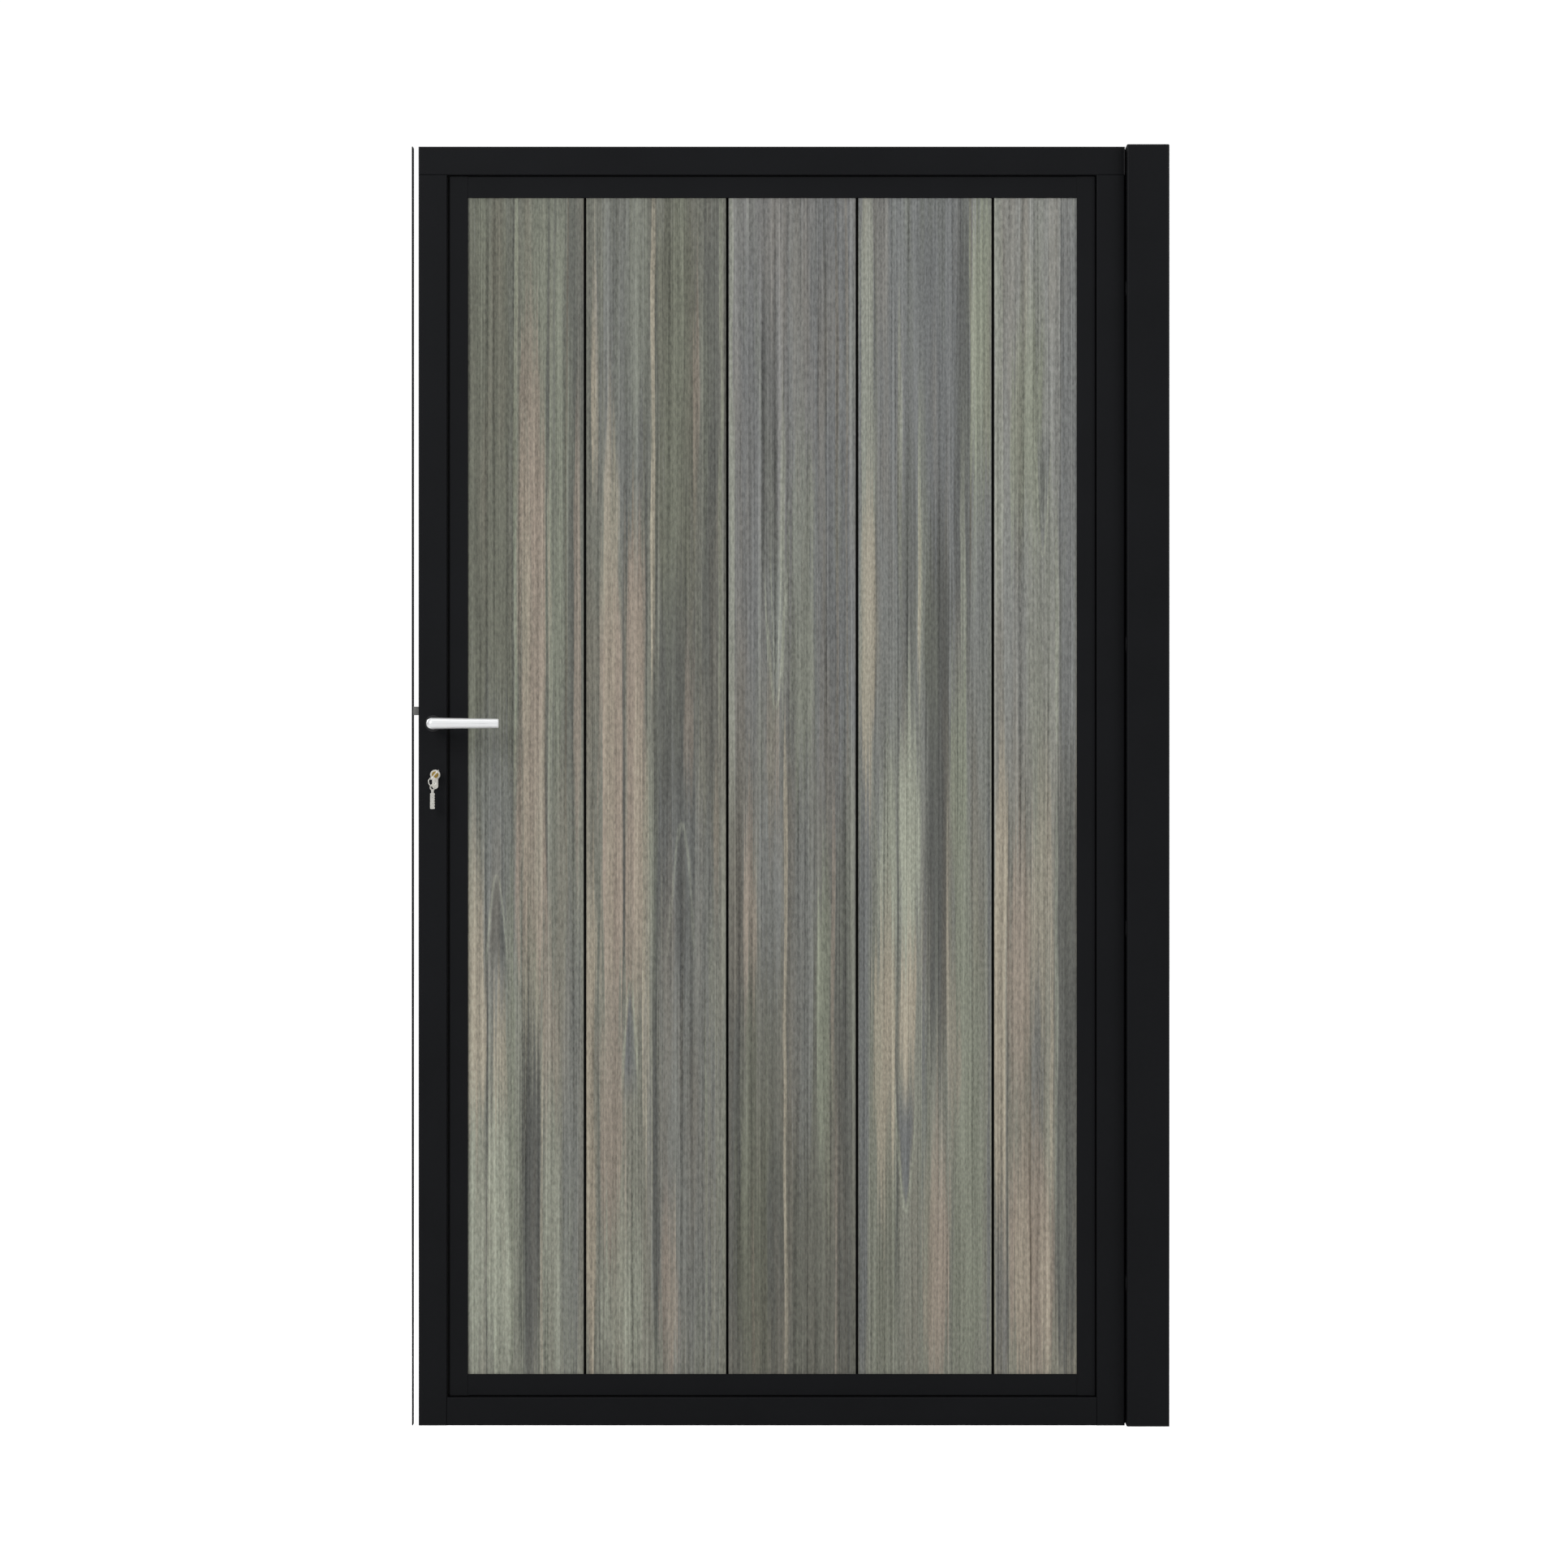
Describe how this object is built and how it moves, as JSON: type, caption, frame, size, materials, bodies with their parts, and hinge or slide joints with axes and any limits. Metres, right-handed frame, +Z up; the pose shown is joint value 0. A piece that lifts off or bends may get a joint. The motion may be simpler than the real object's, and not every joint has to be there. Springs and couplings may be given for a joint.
{
  "type": "garden gate",
  "caption": "Single black aluminium garden gate leaf filled with upright grey composite boards, hinged to a wall post, with lever handles, insert lock, key and strike strip.",
  "frame": {"origin": "centre of the gate's footprint, level with its lower edge", "axes": "+X from the latch side to the hinge side, +Y from the front to the back, +Z up"},
  "size_m": [1.0656, 0.14, 1.802],
  "materials": {
    "black_powder_coat": "matt black powder coat with a fine texture",
    "composite_board": "embossed wood-grain composite, grey with olive and pink-brown streaks",
    "satin_silver": "satin anodised",
    "nickel": "bright nickel plate",
    "brass": "turned brass",
    "stainless": "brushed stainless steel",
    "zinc_steel": "zinc-plated steel",
    "black_steel": "black oxide",
    "raw_aluminium": "mill finish",
    "black_plastic": "fine moulded grain",
    "black_rubber": "matt EPDM"
  },
  "bodies": {
    "post": {"hinge_post": "black_powder_coat", "post_cap": "black_powder_coat", "post_foot_plug": "black_plastic", "access_hole_plugs": "black_plastic", "strike_strip": "black_powder_coat", "post_hinge_screws": "black_steel", "hinge_washers": "black_plastic", "hinge_gap_seal": "black_rubber", "post_hinge_plate_1": "black_powder_coat", "post_hinge_plate_2": "black_powder_coat", "post_hinge_plate_3": "black_powder_coat", "hinge_pin_1": "stainless", "hinge_pin_2": "stainless", "hinge_pin_3": "stainless"},
    "leaf": {"gate_hinge_screws": "black_steel", "top_rail": "black_powder_coat", "bottom_rail": "black_powder_coat", "latch_stile": "black_powder_coat", "hinge_stile": "black_powder_coat", "corner_blocks": "raw_aluminium", "corner_screws": "black_steel", "top_rail_end_plugs": "black_plastic", "stile_foot_plugs": "black_plastic", "frame_gaskets": "black_rubber", "latch_side_channel": "black_powder_coat", "hinge_side_channel": "black_powder_coat", "top_channel": "black_powder_coat", "bottom_channel": "black_powder_coat", "channel_screws": "stainless", "board_pads": "black_rubber", "lock_case": "zinc_steel", "lock_cover": "zinc_steel", "lock_forend": "black_powder_coat", "forend_screws": "black_steel", "lock_case_screws": "stainless", "cylinder_screw": "black_steel", "return_spring": "stainless", "lever_bushes": "black_plastic", "cylinder_body": "nickel", "cylinder_rear_plug": "brass", "gate_hinge_plate_1": "black_powder_coat", "gate_hinge_plate_2": "black_powder_coat", "gate_hinge_plate_3": "black_powder_coat", "board_1": "composite_board", "board_2": "composite_board", "board_3": "composite_board", "board_4": "composite_board", "board_5": "composite_board"},
    "handle": {"lever_front": "satin_silver", "lever_rear": "satin_silver", "spindle": "zinc_steel", "follower": "zinc_steel", "lever_grub_screws": "stainless"},
    "latch_bolt": {"latch_bolt": "stainless"},
    "dead_bolt": {"dead_bolt": "stainless"},
    "cylinder_core": {"cylinder_plug": "brass", "cylinder_cam": "zinc_steel"},
    "key": {"key": "nickel"},
    "key_ring": {"key_ring": "nickel"},
    "spare_key": {"spare_key": "nickel"}
  },
  "joints": [
    {"name": "leaf_swing", "type": "hinge", "parent": "post", "child": "leaf", "pos_m": [0.47175, 0.028, 0], "axis": [0, 0, 1], "range_deg": [-170, 0]},
    {"name": "handle_turn", "type": "hinge", "parent": "leaf", "child": "handle", "pos_m": [-0.50275, 0, 0.988], "axis": [0, 1, 0], "range_deg": [0, 40], "stiffness_Nm_per_rad": 1.2, "springref_deg": -20.05},
    {"name": "latch_slide", "type": "slide", "parent": "leaf", "child": "latch_bolt", "axis": [1, 0, 0], "range_m": [0, 0.0085]},
    {"name": "key_turn", "type": "hinge", "parent": "leaf", "child": "cylinder_core", "pos_m": [-0.49975, 0, 0.916], "axis": [0, -1, 0], "range_deg": [0, 360]},
    {"name": "dead_bolt_slide", "type": "slide", "parent": "leaf", "child": "dead_bolt", "axis": [-1, 0, 0], "range_m": [0, 0.014]},
    {"name": "key_pull", "type": "slide", "parent": "cylinder_core", "child": "key", "axis": [0, -1, 0], "range_m": [0, 0.025]},
    {"name": "key_ring_swing", "type": "hinge", "parent": "key", "child": "key_ring", "pos_m": [-0.50271, -0.042, 0.91248], "axis": [0.866, 0.5, 0], "range_deg": [-20, 20]},
    {"name": "spare_key_swing", "type": "hinge", "parent": "key_ring", "child": "spare_key", "pos_m": [-0.50271, -0.042, 0.90008], "axis": [0.866, 0.5, 0], "range_deg": [-20, 20]}
  ],
  "couplings": [
    {"joint": "latch_slide", "follows": "handle_turn", "m_per_rad": 0.01146},
    {"joint": "key_turn", "follows": "dead_bolt_slide", "rad_per_m": 448.79}
  ]
}
